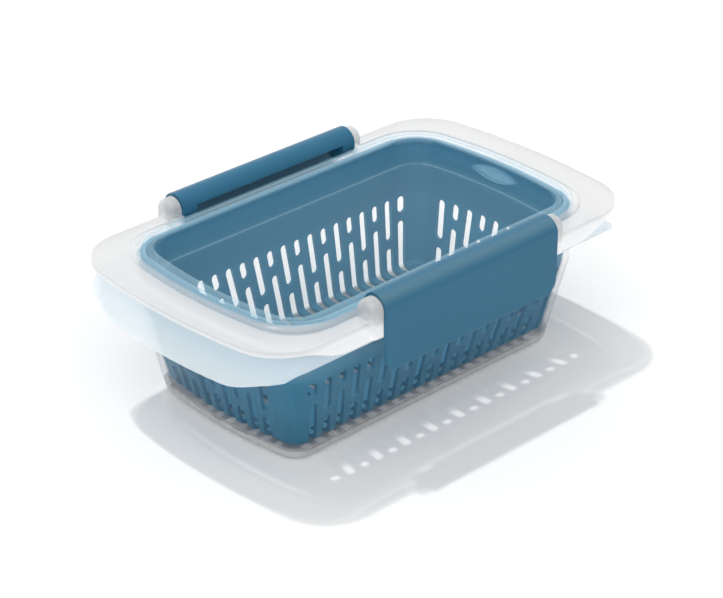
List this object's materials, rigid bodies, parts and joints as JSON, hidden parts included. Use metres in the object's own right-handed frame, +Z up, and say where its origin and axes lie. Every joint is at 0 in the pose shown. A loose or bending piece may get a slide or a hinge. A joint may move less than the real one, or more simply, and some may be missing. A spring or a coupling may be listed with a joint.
{
  "type": "storage container with colander",
  "caption": "Clear oblong food keeper with a slotted lift-out colander, a recessed clear lid and hinged side latches that hook under the rim.",
  "frame": {"origin": "centre of the base, on the surface the container stands on", "axes": "+X along the length, -Y towards the front latch, +Z up"},
  "size_m": [0.1778, 0.1118, 0.0628],
  "materials": {
    "clear_tub": "clear, slightly hazy",
    "blue_colander": "satin mid blue",
    "clear_lid": "clear, milky at the edges",
    "silicone": "translucent matte",
    "blue_latch": "satin mid blue"
  },
  "bodies": {
    "container": {"container": "clear_tub"},
    "colander": {"colander": "blue_colander"},
    "lid": {"lid": "clear_lid", "lid_seal": "silicone"},
    "front_latch": {"front_latch": "blue_latch"},
    "rear_latch": {"rear_latch": "blue_latch"}
  },
  "joints": [
    {"name": "colander_lift", "type": "slide", "parent": "container", "child": "colander", "axis": [0, 0, 1], "range_m": [0, 0.06]},
    {"name": "lid_lift", "type": "slide", "parent": "colander", "child": "lid", "axis": [0, 0, 1], "range_m": [0, 0.06]},
    {"name": "front_latch_hinge", "type": "hinge", "parent": "lid", "child": "front_latch", "pos_m": [0, -0.05049, 0.0574], "axis": [-1, 0, 0], "range_deg": [0, 110]},
    {"name": "rear_latch_hinge", "type": "hinge", "parent": "lid", "child": "rear_latch", "pos_m": [0, 0.05049, 0.0574], "axis": [1, 0, 0], "range_deg": [0, 110]}
  ]
}
